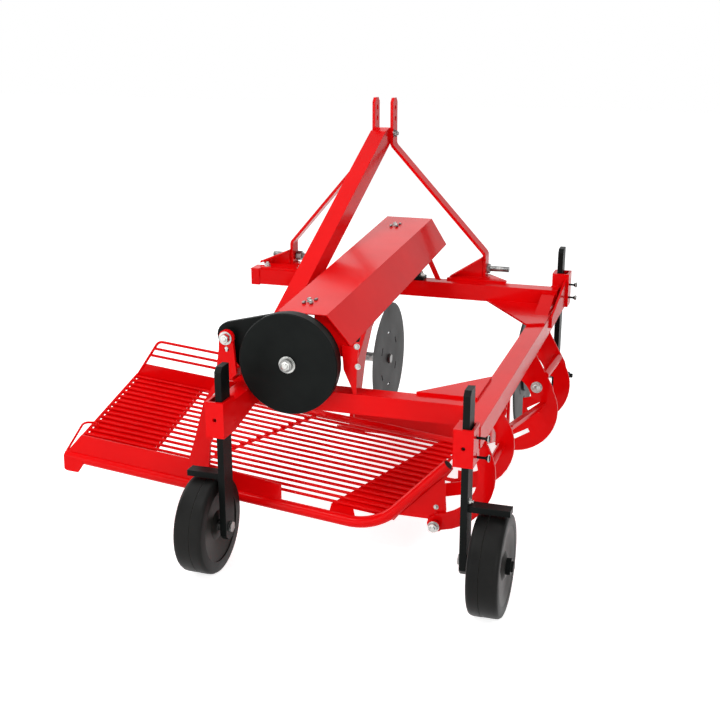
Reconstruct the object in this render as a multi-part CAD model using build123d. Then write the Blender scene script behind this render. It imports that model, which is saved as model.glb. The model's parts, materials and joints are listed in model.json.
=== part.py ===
"""Side-discharge shaker potato digger for a three-point hitch.

Drawing axes: X to the right of the machine, Y forward (towards the tractor),
Z up from the ground.  The drawing datum lies near the rear wheel axle; the
last step moves everything to the middle of the footprint.  Units are mm.
"""
import os
from math import cos, pi, sin

from build123d import *

# ---------------------------------------------------------------- dimensions
footprintX, footprintY = -296.49, 720.5     # middle of the footprint

wall = 5.0                                  # of the square frame tube
beamLow, beamTop = 477.0, 540.0             # side and rear beams
frontLow, frontTop = 540.0, 603.0           # front beam rides on the side beam
frontX, frontY = (-905.0, 362.5), (1338.0, 1401.0)
rearX, rearY = (-500.0, 299.5), (116.0, 179.0)
sideX, sideY = (299.5, 362.5), (-46.0, 1401.0)
armX, armY = (-437.0, -379.0), (-46.0, 116.0)   # short arm behind the rear beam
plate = 8.0                                 # gussets and brackets

legThick, legDeep = 20.0, 60.0              # flat bar of every leg
wheelR, wheelWide, rimR = 150.0, 90.0, 112.0
axleY, axleR = -86.0, 10.0
running = 0.05                              # radial play of a shaft in its bore
roundSides = 48                             # sides of a large ring or disc

shaftX, shaftZ, shaftR = -245.0, 636.0, 20.0
flyR, flyY = 156.0, (48.0, 80.0)
throw = 8.0                                 # offset of the crank pin
eccR, strapBore = 34.0, 60.0

discR, discThick = 235.0, 5.0

rodX, rodZ = -444.0, 699.0                  # connecting rod pin in the rocker
pivotX, pivotZ = -474.0, 509.0              # rocker shaft in the rear beam
footX, footZ = -560.0, 222.0                # rocker pin in the sieve's side plate
hangX, hangZ = 331.0, 447.0                 # axis on which the hangers swing
eyeX, eyeZ, eyeR = 208.0, 170.0, 14.0       # hanger's lower eye, wider than its bolt
boltR = 10.0

sieveY = (90.0, 590.0)
sieveLeft = -1050.0
sieveZero, sieveFall, sieveRise = 129.0, -0.10, 0.24
sieveTube = 18.0
barCount, firstBar, barPitch, barR = 17, 155.0, 26.4, 5.0
barLeft, barRight, barSpread = -1044.0, 62.0, 0.28   # right ends move out with Y


# ------------------------------------------------------------------- helpers
def block(x, y, z):
    """Rectangular bar between two corners."""
    return Pos((x[0] + x[1]) / 2, (y[0] + y[1]) / 2, (z[0] + z[1]) / 2) * Box(
        x[1] - x[0], y[1] - y[0], z[1] - z[0])


def flat(points, axis, low, high):
    """Plate with the outline given in the two other axes, in X, Y, Z order."""
    lift = {"X": lambda a, b: (low, a, b),
            "Y": lambda a, b: (a, low, b),
            "Z": lambda a, b: (a, b, low)}[axis]
    way = {"X": (1, 0, 0), "Y": (0, 1, 0), "Z": (0, 0, 1)}[axis]
    face = make_face(Polyline(*[lift(*p) for p in points], close=True))
    return extrude(face, amount=high - low, dir=way)


def peg(start, end, radius):
    """Round bar from one point to another."""
    a, b = Vector(*start), Vector(*end)
    run = b - a
    return Plane(origin=a, z_dir=run) * Cylinder(
        radius, run.length, align=(Align.CENTER, Align.CENTER, Align.MIN))


def stick(start, end, radius, sides=8):
    """Many-sided bar for rods, nuts and bolts, measured to its flats."""
    a, b = Vector(*start), Vector(*end)
    across = Vector(0, 1, 0) if abs(b.X - a.X) > abs(b.Y - a.Y) else Vector(1, 0, 0)
    face = Plane(origin=a, x_dir=across, z_dir=b - a) * RegularPolygon(
        radius, sides, major_radius=False, rotation=180 / sides)
    return extrude(face, amount=(b - a).length)


def hollow(x, y, z, run, thick=wall):
    """Square tube that runs along one axis, open at its ends."""
    inner = [list(x), list(y), list(z)]
    for i, name in enumerate("XYZ"):
        grow = 1.0 if name == run else -thick
        inner[i] = (inner[i][0] - grow, inner[i][1] + grow)
    return block(x, y, z) - block(*inner)


def slanted(points, y, shift):
    """Bar with its outline in x and z, whose front end is moved by shift in x and z."""
    face = make_face(Polyline(*[(px, y[0], pz) for px, pz in points], close=True))
    run = Vector(shift[0], y[1] - y[0], shift[1])
    return extrude(face, amount=run.length, dir=run)


def strap(points, y, thick, wide):
    """Flat bar bent along a path in the XZ plane, wide across Y."""
    path = Polyline(*[(px, y, pz) for px, pz in points])
    path = fillet(path.vertices()[1:-1], 25)
    section = Plane(origin=path @ 0, x_dir=(0, 1, 0), z_dir=path % 0) * Rectangle(wide, thick)
    return sweep(section, path)


def sieve(x, y, above=0.0):
    """Point on the sieve's sloping plane."""
    return (x, y, sieveZero + sieveFall * x + sieveRise * (y - sieveY[0]) + above)


parts = {}


# --------------------------------------------------------------------- frame
def buildFrame():
    capLong, capLip = 36, 3
    cap = block((frontX[0], frontX[0] + capLong), (frontY[0] - capLip, frontY[1] + capLip),
                (frontLow - capLip, frontTop + capLip))
    seat = block((frontX[0] + plate, frontX[0] + capLong + 1), frontY, (frontLow, frontTop))
    beam = hollow((frontX[0] + plate, frontX[1]), frontY, (frontLow, frontTop), "X")
    parts["front_beam"] = beam + (cap - seat)
    parts["side_beam"] = hollow(sideX, sideY, (beamLow, beamTop), "Y")
    bush = stick((pivotX, rearY[0], pivotZ), (pivotX, rearY[1], pivotZ), 24, 12)
    bore = peg((pivotX, rearY[0] - 1, pivotZ), (pivotX, rearY[1] + 1, pivotZ), 15)
    parts["rear_beam"] = hollow(rearX, rearY, (beamLow, beamTop), "X") + bush - bore
    web = flat([(armY[0], 446), (armY[0], beamLow), (armY[1] - 10, beamLow)], "X", armX[1] - plate, armX[1])
    parts["rear_arm"] = hollow(armX, armY, (beamLow, beamTop), "Y") + web
    top = beamTop + plate
    frontCorner = flat([(90, frontY[0]), (sideX[0], 1030), (sideX[1] - 2, 1062), (sideX[1] - 2, frontY[0])],
                       "Z", beamTop, top)
    rearCorner = flat([(118, rearY[1] - 4), (302, 386), (304, 386), (304, rearY[1] - 4)], "Z", beamTop, top)
    slope = flat([(1165, top), (frontY[0], top), (frontY[0], 590), (1310, 590)], "X", 306, 356)
    # brace from the outside of the side beam to the clamp at the beam's front end: y, z
    brace = [(1180, 497), (frontY[1], 530), (frontY[1], 634), (1180, 538)]
    outer = make_face(Polyline(*[(sideX[1] + (y - 1180) / 13, y, z) for y, z in brace], close=True))
    parts["frame_gussets"] = frontCorner + slope + rearCorner + extrude(outer, amount=plate, dir=(1, 0, 0))


# ---------------------------------------------------------------- headstock
lugX = (-416.0, -342.0)                     # rear left corners of the mast bars
mastY = (1450.0, 1510.0)
mastThick = 12.0
mastTop, bendTop, bendLow, mastFoot = 1300.0, 1118.0, 700.0, frontTop + plate
topHoles, topHoleR = (1262.0, 1219.0), 9.75
pinY, pinZ, pinR, pinLong = 1488.0, 638.0, 11.0, 88.0
footRight, footLeft = 52.0, -768.0


def buildMast():
    midY = sum(mastY) / 2
    half = mastThick / 2
    for name, lug, foot, out in (("left", lugX[0], footLeft, -1), ("right", lugX[1], footRight, 1)):
        x = lug + half
        line = [(x, mastTop), (x, bendTop), (foot, bendLow), (foot, mastFoot)]
        bar = strap(line, midY, mastThick, mastY[1] - mastY[0])
        for z in topHoles:
            bar -= peg((x - 30, midY, z), (x + 30, midY, z), topHoleR)
        bar -= stick((foot - 30, pinY, pinZ), (foot + 30, pinY, pinZ), 10, 8)
        bar = chamfer(bar.edges().filter_by(Axis.X).group_by(Axis.Z)[-1], 16)
        parts["mast_bar_" + name] = bar
        pin = peg((foot + out * half, pinY, pinZ), (foot + out * (half + pinLong), pinY, pinZ), pinR)
        pin += stick((foot - out * 52, pinY, pinZ), (foot + out * half, pinY, pinZ), 10, 8)
        for start, end in ((-34, -10), (half, 18)):
            pin += stick((foot + out * start, pinY, pinZ), (foot + out * end, pinY, pinZ), 17, 6)
        parts["link_pin_" + name] = pin
    gap = (lugX[0] + mastThick, lugX[1])
    parts["mast_spacer"] = block(gap, (mastY[0] + 14, mastY[0] + 24), (1120, 1182))
    headZ, backY = 1140.0, rearY[0] + 6
    headY = mastY[0]
    side = [(backY, beamTop), (headY - 10, headZ - 22), (headY + 14, headZ + 24), (headY + 14, headZ + 46),
            (headY - 14, headZ + 46), (headY - 60, headZ + 38), (backY, beamTop + 68)]
    core = [(backY - 20, beamTop - 4), (headY - 34, headZ - 16), (headY - 66, headZ + 26),
            (backY - 20, beamTop + 52)]
    floor = block((gap[0] - 1, gap[1] + 1), (0, 1500), (0, beamTop))
    parts["mast_brace"] = flat(side, "X", *gap) - flat(core, "X", gap[0] + wall, gap[1] - wall) - floor


# base plate in x and y, web under the strap and strap in x and z
hitchBrackets = {
    "left": (((-866, 1346), (-684, 1346), (-690, 1405), (-756, 1506), (-780, 1506), (-894, 1449),
              (-866, 1402)),
             ((-896, 611), (-774, 611), (-774, 664)),
             ((-896, 611), (-774, 664), (-774, 671), (-896, 619))),
    "right": (((-86, 1393), (152, 1393), (152, 1414), (66, 1506), (40, 1506), (-64, 1449)),
              ((-70, 611), (46, 611), (46, 686)),
              ((-70, 611), (46, 686), (46, 694), (-82, 611))),
}


def buildHitch():
    for name, (base, web, slope) in hitchBrackets.items():
        parts["hitch_bracket_" + name] = (flat(base, "Z", frontTop, frontTop + plate)
                                          + flat(web, "Y", mastY[0] - plate, mastY[0])
                                          + flat(slope, "Y", mastY[0] - 36, mastY[0]))


# -------------------------------------------------------------- legs, clamps
# name, leg x, leg y, leg z, clamp x, clamp y, clamp z, side of the clamp bolts
legs = (
    ("left", -407.0, -116.0, (112.0, 660.0), (-437.0, -379.0), (-124.0, -46.0), (446.0, 556.0), -1),
    ("right", 326.0, -116.0, (112.0, 664.0), (302.0, 360.0), (-124.0, -46.0), (446.0, 556.0), 1),
    ("front_left", -477.0, 1412.0, (196.0, 690.0), (-507.0, -449.0), (1401.0, 1482.0), (520.0, 652.0), -1),
    ("front_right", 349.0, 1407.0, (170.0, 750.0), (332.0, 396.0), (1401.0, 1475.0), (525.0, 655.0), 1),
)
clampWall, clampBoltR, clampBoltOut = 8.0, 6.0, 30.0


def buildLegs():
    bolts = []
    for name, x, y, legZ, clampX, clampY, clampZ, way in legs:
        leg = block((x, x + legThick), (y, y + legDeep), legZ)
        leg = chamfer(leg.edges().filter_by(Axis.X).group_by(Axis.Z)[0], 18)
        leg = chamfer(leg.edges().filter_by(Axis.X).group_by(Axis.Z)[-1].sort_by(Axis.Y)[0], 14)
        room = (x, clampX[1] - clampWall) if way > 0 else (clampX[0] + clampWall, x + legThick)
        clamp = block(clampX, clampY, clampZ) - block(room, (y, y + legDeep), (clampZ[0] - 1, clampZ[1] + 1))
        near, outer = (x + legThick, clampX[1]) if way > 0 else (x, clampX[0])
        tip, midY = outer + way * clampBoltOut, y + legDeep / 2
        for z in (clampZ[0] + 28, clampZ[1] - 28):
            clamp -= stick((outer - way * 12, midY, z), (outer + way * 2, midY, z), clampBoltR, 6)
            bolts.append(stick((near, midY, z), (tip, midY, z), clampBoltR, 6)
                         + block((tip - 5, tip + 5), (midY - 22, midY + 22), (z - 5, z + 5)))
        if clampY[0] < 0:
            midX, midZ = sum(clampX) / 2, sum(clampZ) / 2
            clamp -= stick((midX, clampY[0] - 1, midZ), (midX, y + 1, midZ), 6)
        parts["leg_" + name] = leg
        parts["clamp_" + name] = clamp
    parts["clamp_bolts"] = Compound(bolts)


def stacked(rings):
    """Solid about the X axis from x, radius pairs, with flats at the bottom and the top."""
    return loft([Plane(origin=(a, 0, 0), x_dir=(0, 1, 0), z_dir=(1, 0, 0))
                 * RegularPolygon(r, roundSides, major_radius=False, rotation=180 / roundSides)
                 for a, r in rings], ruled=True)


# name, wheel middle x, leg face x that the axle leaves, way out from the leg
wheels = (("left", -462.0, -407.0, -1), ("right", 414.0, 346.0, 1))


def buildWheels():
    half = wheelWide / 2
    scrapers = []
    for name, x, face, way in wheels:
        at = Pos(x, axleY, wheelR)
        hole = rimR * cos(pi / roundSides)
        tread = stacked([(-half, wheelR - 9), (9 - half, wheelR), (half - 9, wheelR), (half, wheelR - 9)])
        parts["tyre_" + name] = at * (tread - stick((-half - 1, 0, 0), (half + 1, 0, 0), hole, roundSides))
        inner = half - 8
        rim = stick((4 - inner, 0, 0), (inner - 4, 0, 0), hole, roundSides)
        rim += stick((-inner, 0, 0), (inner, 0, 0), 24, 12)
        parts["rim_" + name] = at * (rim - peg((-inner - 1, 0, 0), (inner + 1, 0, 0), axleR + running))
        back, near = face - way * legThick, x - way * (inner + 0.4)
        beyond, cap = x + way * (inner + 0.4), x + way * (half + 4)
        axle = peg((near, axleY, wheelR), (beyond, axleY, wheelR), axleR)
        # collars, shank in the leg and nuts: start and end x, size, sides
        for start, end, size, sides in ((back - way * 8, back, 15, 6), (back, face, axleR, 8),
                                        (face, near, 17, 6), (beyond, cap, 20, 8),
                                        (cap, cap + way * 8, 15, 6)):
            axle += stick((start, axleY, wheelR), (end, axleY, wheelR), size, sides)
        parts["axle_" + name] = axle
        through = stick((face - way * 30, axleY, wheelR), (face + way * 5, axleY, wheelR), axleR)
        parts["leg_" + name] -= through
        tip = x + way * (half + 6)
        scrapers.append(block((min(face, tip), max(face, tip)), (axleY - 20, axleY + 20),
                              (wheelR * 2 + 8, wheelR * 2 + 26)))
    parts["wheel_scrapers"] = Compound(scrapers)


# name, disc x, disc y, leg face x next to the disc, way from the disc to the leg
coulters = (("left", -340.0, 1442.0, -457.0, -1), ("right", 232.0, 1442.0, 349.0, 1))


def buildCoulters():
    half = discThick / 2
    for name, x, y, face, way in coulters:
        disc = stacked([(-way * half, discR), (way * half, discR - 14)]) - stick((-9, 0, 0), (9, 0, 0), 20)
        for turn in range(0, 360, 60):
            disc -= Rot(turn, 0, 0) * Pos(0, 0, 112) * Box(20, 34, 9)
        parts["disc_" + name] = Pos(x, y, discR) * disc
        hub = (stick((x + way * half, y, discR), (x + way * 11, y, discR), 76, 12)
               + stick((x + way * 11, y, discR), (x + way * 56, y, discR), 36, 12))
        parts["disc_hub_" + name] = hub - peg((x - 90, y, discR), (x + 90, y, discR), axleR + running)
        near, beyond, back = x - way * (half + 0.4), x + way * 56.4, face + way * legThick
        axle = peg((near, y, discR), (beyond, y, discR), axleR)
        for start, end, size, sides in ((near - way * 9, near, 17, 6), (beyond, face, 17, 6),
                                        (face, back, axleR, 8), (back, back + way * 12, 15, 6)):
            axle += stick((start, y, discR), (end, y, discR), size, sides)
        parts["disc_axle_" + name] = axle
        parts["leg_front_" + name] -= stick((face - 25, y, discR), (face + 25, y, discR), axleR)


# --------------------------------------------------------------------- drive
# y, left x, right x, top z, right foot x, depth
guardEnds = ((110.0, -297.0, -142.0, 780.0, -64.0, 88.0), (1430.0, -345.0, -161.0, 837.0, -99.0, 100.0))
guardSheet = 3.0


def buildGuard():
    def section(end, inset):
        y, left, right, top, foot, deep = end
        low = top - deep - (2 if inset else 0)
        upper = top - inset
        return make_face(Polyline((left + inset, y, low), (left + inset, y, upper),
                                  (right - inset * 0.6, y, upper), (foot - inset * 1.25, y, low), close=True))
    outer = loft([section(e, 0) for e in guardEnds], ruled=True)
    ends = [(e[0] + s, *e[1:]) for e, s in zip(guardEnds, (-1, 1))]
    parts["shaft_guard"] = outer - loft([section(e, guardSheet) for e in ends], ruled=True)


# low z, rear y, front y, foot half width
bearings = ((beamTop, 124.0, 172.0, 66.0), (frontTop, 1346.0, 1394.0, 76.0))


def buildDrive():
    front, back = 1562.0, flyY[0] - 18
    shaft = peg((shaftX, back, shaftZ), (shaftX, front - 78, shaftZ), shaftR)
    shaft += peg((shaftX, front - 78, shaftZ), (shaftX, front, shaftZ), 17.5)
    shaft += peg((shaftX, flyY[1], shaftZ + throw), (shaftX, flyY[1] + 22, shaftZ + throw), eccR)
    parts["drive_shaft"] = shaft
    bore = stick((shaftX, flyY[0] - 1, shaftZ), (shaftX, flyY[1] + 1, shaftZ), shaftR + 0.4, 12)
    parts["flywheel"] = stick((shaftX, flyY[0], shaftZ), (shaftX, flyY[1], shaftZ), flyR, roundSides) - bore
    housings = []
    for low, y0, y1, half in bearings:
        foot = block((shaftX - half, shaftX + half), (y0, y1), (low, low + 14))
        side = [(half * 0.7, low + 14), (42, shaftZ), (30, shaftZ + 32)]
        outline = [(shaftX - a, z) for a, z in side] + [(shaftX + a, z) for a, z in reversed(side)]
        housings.append(foot + flat(outline, "Y", y0 + 4, y1 - 4)
                        - peg((shaftX, y0, shaftZ), (shaftX, y1, shaftZ), shaftR + running))
    parts["shaft_bearings"] = Compound(housings)


# rear y, foot x and z, head x and z
guardLegs = ((116.0, (-32.0, -61.0), beamTop, (-76.0, -46.0), 697.0),
             (116.0, (-322.0, -294.0), beamTop, (-283.0, -299.0), 700.0),
             (1340.0, (-98.0, -118.0), frontTop, (-179.0, -159.0), 738.0),
             (1340.0, (-364.0, -332.0), frontTop, (-338.0, -352.0), 738.0))


def buildGuardLegs():
    legPlates = [flat([(foot[0], low), (foot[1], low), (head[0], top), (head[1], top)], "Y", y, y + plate)
                 for y, foot, low, head, top in guardLegs]
    parts["guard_legs"] = Compound([leg - parts["shaft_guard"] for leg in legPlates])


rockerRear, rockerFront = (56.0, 66.0), (186.0, 196.0)
# outline of the rocker in x and z, both plates share head and side
rockerHead = ((-468, rodZ), (-470, 660), (-487, 554))
rockerLow = ((-527, 486), (-560, 370), (-592, 270), (-586, 205), (-534, 205), (-518, 270), (-512, 345))
rockerWaist = ((-510, 500), (-500, 470))
rockerSide = ((-458, 470), (-450, 500), (-450, 556), (-414, 586), (-423, rodZ))


def buildRocker():
    """Two plates on either side of the rear beam; the rear one reaches down to the sieve."""
    rocker = (flat(rockerHead + rockerLow + rockerSide, "Y", *rockerRear)
              + flat(rockerHead + rockerWaist + rockerSide, "Y", *rockerFront))
    for y0, y1 in (rockerRear, rockerFront):
        rocker += stick((rodX, y0, rodZ), (rodX, y1, rodZ), 24, 12)
    rocker += stick((rodX, rockerRear[0] - 5, rodZ), (rodX, rockerRear[0], rodZ), 20, 12)
    rocker -= stick((rodX, rockerRear[0] - 9, rodZ - 36), (rodX, rockerFront[1] + 9, rodZ - 36), 7)
    rocker += block((-440, -430), (rockerRear[1], rockerFront[0]), (562, 590))
    rocker += peg((rodX, rockerRear[1], rodZ), (rodX, rockerFront[0], rodZ), boltR)
    for y0, y1 in ((rockerRear[0] - 14, rockerRear[0] - 5), (rockerFront[1], rockerFront[1] + 9)):
        rocker += stick((rodX, y0, rodZ), (rodX, y1, rodZ), 13, 6)
    for y0, y1 in ((rockerRear[0], rearY[0] - 1), (rearY[1] + 1, rockerFront[1])):
        rocker += stick((pivotX, y0, pivotZ), (pivotX, y1, pivotZ), 22, 12)
    rocker += peg((pivotX, rockerRear[1], pivotZ), (pivotX, rockerFront[0], pivotZ), 15 - running)
    for y0, y1 in ((rockerRear[0] - 8, rockerRear[0]), (rockerFront[1], rockerFront[1] + 8)):
        rocker += stick((pivotX, y0, pivotZ), (pivotX, y1, pivotZ), 16, 6)
    rocker += stick((footX, rockerRear[0] - 8, footZ), (footX, rockerRear[0], footZ), 14, 6)
    rocker += peg((footX, rockerRear[1], footZ), (footX, sieveY[0] + 8, footZ), boltR)
    parts["rocker"] = rocker


smallEnd, bigEnd = 41.0, 150.0


def buildRod():
    y0, y1 = flyY[1] + 5, flyY[1] + 23
    with BuildSketch(Plane.XZ.offset(-y1)) as outline:
        with Locations((rodX, rodZ)):
            RegularPolygon(smallEnd, 20, major_radius=False)
        with Locations((shaftX, shaftZ)):
            RegularPolygon(bigEnd, roundSides, major_radius=False)
        make_hull()
        with Locations((shaftX, shaftZ)):
            RegularPolygon(strapBore, 20, major_radius=False, mode=Mode.SUBTRACT)
    rod = extrude(outline.sketch, amount=y1 - y0)
    rod += stick((rodX, rockerRear[1] + 1, rodZ), (rodX, rockerFront[0] - 1, rodZ), 20, 12)
    parts["connecting_rod"] = rod - peg((rodX, 0, rodZ), (rodX, 300, rodZ), boltR + running)


# ----------------------------------------------------------------- sieve
def sloped(points, low, high):
    """Plate on the sieve's plane, outlined in x and y, between two heights above it."""
    up = Vector(-sieveFall, -sieveRise, 1).normalized()
    face = make_face(Polyline(*[sieve(x, y, low) for x, y in points], close=True))
    return extrude(face, amount=(high - low) * up.Z, dir=up)


# outline in x and y of the sheets under the bars
sheetOutlines = (
    ((-1032, 107), (-794, 107), (-794, 582), (-1032, 582)),
    ((-139, 107), (-52, 107), (-73, 150), (46, 150), (166, 582), (98, 582), (-146, 150)),
)
# x at the near and the far end, and y of the near end
crossBars = ((-1037.0, -1037.0, 98.0), (-785.0, -785.0, 98.0), (-666.0, -353.0, 150.0),
             (-134.0, 108.0, 150.0), (56.0, 174.0, 150.0))
# x along the sieve and height above the tube's middle
sideNear = ((sieveLeft + 6, 15), (-290, 15), (-290, 70), (-582, 86), (-987, 84))
sideFar = ((sieveLeft, -10), (-610, -10), (-610, 52), (sieveLeft + 40, 52))
# height of each fence rail above the sieve and how far it starts from the sieve's left edge
fenceRails = ((148.0, 96.0), (118.0, 78.0), (90.0, 60.0))
fenceRight, fenceR = -622.0, 5.0
risePoint, riseEnd = (17.5, 127.2), (242.0, 360.0)   # bend and tip of the near tube
gussetRear = ((78, 178), (182, 178), (186, 152), (208, 144), (230, 152), (238, 212), (231, 310), (256, 348),
              (242, 360), (60, 171))
gussetWing = ((230, 90), (236, 90), (285, 122), (282, 127))      # folded edge, in x and y
gussetFront = ((60, 190), (182, 178), (186, 152), (208, 144), (230, 152), (236, 174), (230, 186), (118, 194))


def buildSieve():
    y0, y1 = sieveY
    # near side: one bent tube, a lug at its left end and a bent rod above it
    path = Polyline(sieve(sieveLeft, y0), (risePoint[0], y0, risePoint[1]), (riseEnd[0], y0, riseEnd[1]))
    bent = fillet(path.vertices()[1:2], 190)
    curve = bent.edges().sort_by(Axis.X)[1]
    path = Polyline(bent @ 0, *[curve @ (k / 6) for k in range(7)], bent @ 1)
    ring = Plane(origin=path @ 0, z_dir=path % 0) * RegularPolygon(sieveTube, 12, major_radius=False)
    tube = sweep(ring, path, transition=Transition.RIGHT)
    end = Plane(origin=path @ 1, z_dir=path % 1)
    frame = tube - end * Pos(0, 0, -60) * Cylinder(sieveTube - 3, 122)
    lug = flat([(sieveLeft, 240), (sieveLeft - 1, 192), (-1042, 186), (-1001, 184), (-980, 214), (-980, 226)],
               "Y", y0 - sieveTube, y0 - 10)
    hoop = [(sieveLeft + 3, y0 + 2, 250), (-1060, 225, 299), (-1018, 243, 296), (-1018, 243, 268)]
    frame += lug - tube
    for a, b in zip(hoop, hoop[1:]):
        frame += stick(a, b, 4, 6)
    far = stick(sieve(-610, y1), sieve(150, y1), 13, 12)
    # bars lie on the plane, cross bars and sheets hang under it
    rise = barR + 0.5
    rows = [firstBar + k * barPitch for k in range(barCount)]
    bars = [stick(sieve(barLeft, y, rise), sieve(barRight + barSpread * (y - firstBar), y, rise), barR)
            for y in rows]
    carriers = [sloped([(a - 5, start), (a + 5, start), (b + 5, y1 - 4), (b - 5, y1 - 4)], -10, 0)
                for a, b, start in crossBars]
    sheets = [sloped(outline, -3, 0) for outline in sheetOutlines]
    near = flat([(x, sieve(x, y0, up)[2]) for x, up in sideNear], "Y", y0 - 4, y0 + 2) - tube
    near -= peg((footX, y0 - 5, footZ), (footX, y0 + 3, footZ), boltR + running)
    side = flat([(x, sieve(x, y1, up)[2]) for x, up in sideFar], "Y", y1 - 3, y1 + 3) - far
    rails = [stick(sieve(sieveLeft + cut, y1, up), sieve(fenceRight, y1, up), fenceR, 6)
             for up, cut in fenceRails]
    rails.append(stick(sieve(sieveLeft + 4, y1, 4), sieve(sieveLeft + 96, y1, 152), fenceR, 6))
    rails.append(stick(sieve(fenceRight, y1, 152), sieve(fenceRight, y1, 40), fenceR, 6))
    # gussets that carry the sieve's right side on the hangers
    gusset = flat(gussetRear, "Y", y0, y0 + 6) + flat(gussetFront, "Y", 384, 390)
    gusset += flat(gussetWing, "Z", 258, 300)
    for start, finish in ((66, 100), (360, 396)):
        gusset += stick((eyeX, start, eyeZ), (eyeX, finish, eyeZ), boltR)
        gusset += stick((eyeX, start - 8, eyeZ), (eyeX, start, eyeZ), 17, 8)
    parts["sieve_gusset"] = gusset - tube
    carriers = [c - tube - far - near - side - gusset - sheets[0] - sheets[1] for c in carriers]
    parts["sieve_bars"] = Compound([bar - far - gusset for bar in bars] + carriers)
    parts["sieve_frame"] = frame
    parts["sieve_front_tube"] = far
    parts["sieve_side_near"] = near
    parts["sieve_side_far"] = side
    parts["sieve_fence"] = rails[0].fuse(*rails[1:]) - side
    parts["sieve_sheets"] = Compound([s - tube - far - gusset for s in sheets])


# ------------------------------------------------------- hangers and share
# rear y, middle x and z, outer and inner radius of each hoop
hangers = ((78.0, 195.0, 341.0, 190.0, 138.0), (372.0, 229.0, 327.0, 157.0, 105.0))
hangerThick = 8.0


def buildHanger():
    """Two C-shaped plates that swing under the side beam and carry the sieve's right end."""
    plates, lugs = [], []
    for y0, x, z, outer, inner in hangers:
        y1 = y0 + hangerThick
        with BuildSketch(Plane.XZ.offset(-y1)) as outline:
            with Locations((x, z)):
                RegularPolygon(outer, 36, major_radius=False)
                RegularPolygon(inner, 36, major_radius=False, mode=Mode.SUBTRACT)
            with Locations((eyeX - 200, z)):
                Rectangle(400, 400, mode=Mode.SUBTRACT)
            with Locations((x, hangZ + 100)):
                Rectangle(400, 200, mode=Mode.SUBTRACT)
            for bossX, bossZ in ((eyeX, eyeZ), (hangX, hangZ)):
                with Locations((bossX, bossZ)):
                    RegularPolygon(25, 12, major_radius=False)
            with Locations((eyeX, eyeZ)):
                RegularPolygon(eyeR, 12, major_radius=False, mode=Mode.SUBTRACT)
            with Locations((hangX, hangZ)):
                Circle(boltR + running, mode=Mode.SUBTRACT)
        plates.append(extrude(outline.sketch, amount=hangerThick))
        low = hangZ - 22
        lug = flat([(hangX - 27, beamLow), (hangX - 22, low), (hangX + 22, low), (hangX + 27, beamLow)],
                   "Y", y1 + 4, y1 + 14)
        lug += peg((hangX, y0 - 2, hangZ), (hangX, y1 + 4, hangZ), boltR)
        for start, end in ((y0 - 10, y0 - 2), (y1 + 14, y1 + 22)):
            lug += stick((hangX, start, hangZ), (hangX, end, hangZ), 17, 6)
        lugs.append(lug)
    tie = stick((346, hangers[0][0] + hangerThick, 330), (346, hangers[1][0], 330), 12, 12)
    parts["sieve_hanger"] = plates[0] + plates[1] + tie
    parts["hanger_lugs"] = Compound(lugs)


# rear y, left limit x
ribs = ((890.0, 228.0), (1195.0, 272.0))
ribX, ribZ, ribR, ribThick = 287.0, 270.0, 160.0, 8.0
ribNeck = ((303.5, beamLow), (361.5, beamLow), (424, 365), (440, 300), (303.5, 300))
ribNotch = ((340, 262), (385, 262), (385, 302), (340, 320))     # lug space beside the window
ribSlot = ((296, 152), (352, 186), (344, 200), (286, 166))


def buildRibs():
    plates = []
    for y, limit in ribs:
        with BuildSketch(Plane.XZ.offset(-(y + ribThick))) as outline:
            with Locations((ribX, ribZ)):
                RegularPolygon(ribR, roundSides, major_radius=False)
            with BuildLine():
                Polyline(*ribNeck, close=True)
            make_face()
            with Locations((ribX - 30, ribZ + 30)):
                RegularPolygon(96, 36, major_radius=False, mode=Mode.SUBTRACT)
            with Locations((sideX[0] - 196, 500), (limit - 200, 200)):
                Rectangle(400, 400, mode=Mode.SUBTRACT)
        rib = extrude(outline.sketch, amount=ribThick)
        for hole in (ribNotch, ribSlot):
            rib -= flat(hole, "Y", y - 1, y + ribThick + 1)
        plates.append(rib)
    parts["guide_ribs"] = Compound(plates)
    ring = [(392 + 17 * cos(pi * (k + 0.5) / 6), 400 + 17 * sin(pi * (k + 0.5) / 6)) for k in range(12)]
    rail = slanted(ring, (ribs[0][0] + ribThick, ribs[1][0]), (5, -20))
    angle = ((352, 356), (358, 356), (358, 377), (372, 377), (372, 383), (352, 383))
    foot = 415.0
    post = block((350, 358), (foot, foot + 16), (360, beamLow))
    parts["guide_bars"] = Compound([rail, slanted(angle, (foot, ribs[0][0]), (32.5, -79)) + post])


shareX = (-315.0, 208.0)
shareSide = ((700, 205), (1240, 22), (1262, 14), (1240, 12), (700, 190))
armLeft = ((1030, 84), (1190, 34), (1395, 300), (1395, frontLow), (1344, frontLow), (1344, 330), (1100, 220))
armRight = ((760, 172), (1190, 32), (1200, 44), (1150, 110), (960, 215), (860, 225), (770, 205))


def buildShare():
    parts["share"] = flat(shareSide, "X", *shareX)
    parts["share_arms"] = Compound([flat(armLeft, "X", shareX[0] - 15, shareX[0]),
                                    flat(armRight, "X", shareX[1], shareX[1] + 12)])


for build in (buildFrame, buildMast, buildHitch, buildLegs, buildWheels, buildCoulters, buildGuard, buildDrive,
              buildGuardLegs, buildRocker, buildRod, buildSieve, buildHanger, buildRibs, buildShare):
    build()

os.makedirs("parts", exist_ok=True)
datum = Pos(-footprintX, -footprintY, 0)
total = None
for name, solid in parts.items():
    placed = datum * solid
    placed.label = name
    export_step(placed, "parts/" + name + ".step")
    box = placed.bounding_box()
    total = box if total is None else total.add(box)
    extents = [f"{low:8.1f}{high:8.1f}" for low, high in zip(box.min, box.max)]
    print(f"{name:22s}", *extents, f"{placed.volume / 1e3:9.1f} cm3  solids {len(placed.solids())}")
print("whole", total)
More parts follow.
